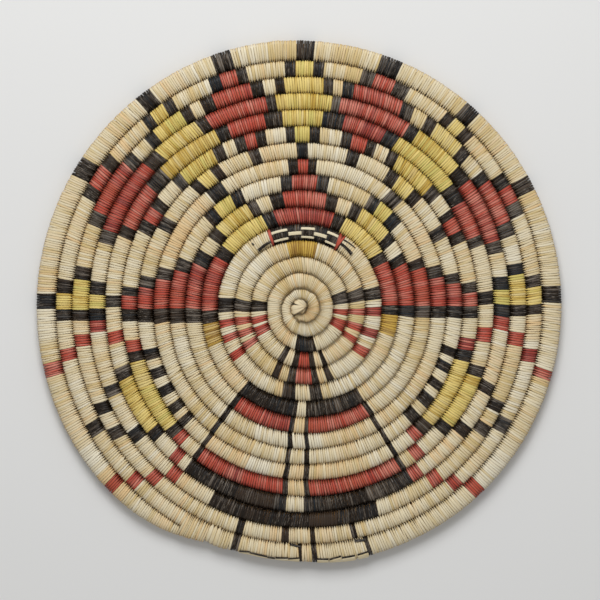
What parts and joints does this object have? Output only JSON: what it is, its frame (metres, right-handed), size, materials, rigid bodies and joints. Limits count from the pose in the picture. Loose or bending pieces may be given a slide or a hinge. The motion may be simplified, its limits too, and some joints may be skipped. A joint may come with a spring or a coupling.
{
  "type": "basketry plaque",
  "caption": "Round flat plaque of one spiral grass coil sewn with dyed leaf splints, patterned with a winged figure under stepped leaves.",
  "frame": {"origin": "centre of the plaque on its flat underside, the plane that it rests on", "axes": "+Z out of the patterned face, +Y towards the top of the figure, +X to the right of the face"},
  "size_m": [0.3299, 0.328, 0.0123],
  "materials": {
    "grass_bundle": "matte",
    "sewing_splint": "matte",
    "natural_splint": "matte",
    "black_splint": "matte",
    "red_splint": "matte"
  },
  "bodies": {
    "root": {"foundation_bundle": "grass_bundle", "sewing_course_01": "sewing_splint", "sewing_course_02": "sewing_splint", "sewing_course_03": "sewing_splint", "sewing_course_04": "sewing_splint", "sewing_course_05": "sewing_splint", "sewing_course_06": "sewing_splint", "sewing_course_07": "sewing_splint", "sewing_course_08": "sewing_splint", "sewing_course_09": "sewing_splint", "sewing_course_10": "sewing_splint", "sewing_course_11": "sewing_splint", "sewing_course_12": "sewing_splint", "sewing_course_13": "sewing_splint", "sewing_course_14": "sewing_splint", "sewing_course_15": "sewing_splint", "sewing_course_16": "sewing_splint", "start_knot": "natural_splint", "rim_finish": "natural_splint", "overlay_strip_outer": "natural_splint", "overlay_strip_middle": "natural_splint", "overlay_strip_inner": "natural_splint", "edge_strip_left": "natural_splint", "edge_strip_right": "natural_splint", "boot_sole_left": "black_splint", "boot_sole_right": "black_splint", "red_tie_left": "red_splint", "red_tie_right": "red_splint"}
  },
  "joints": []
}
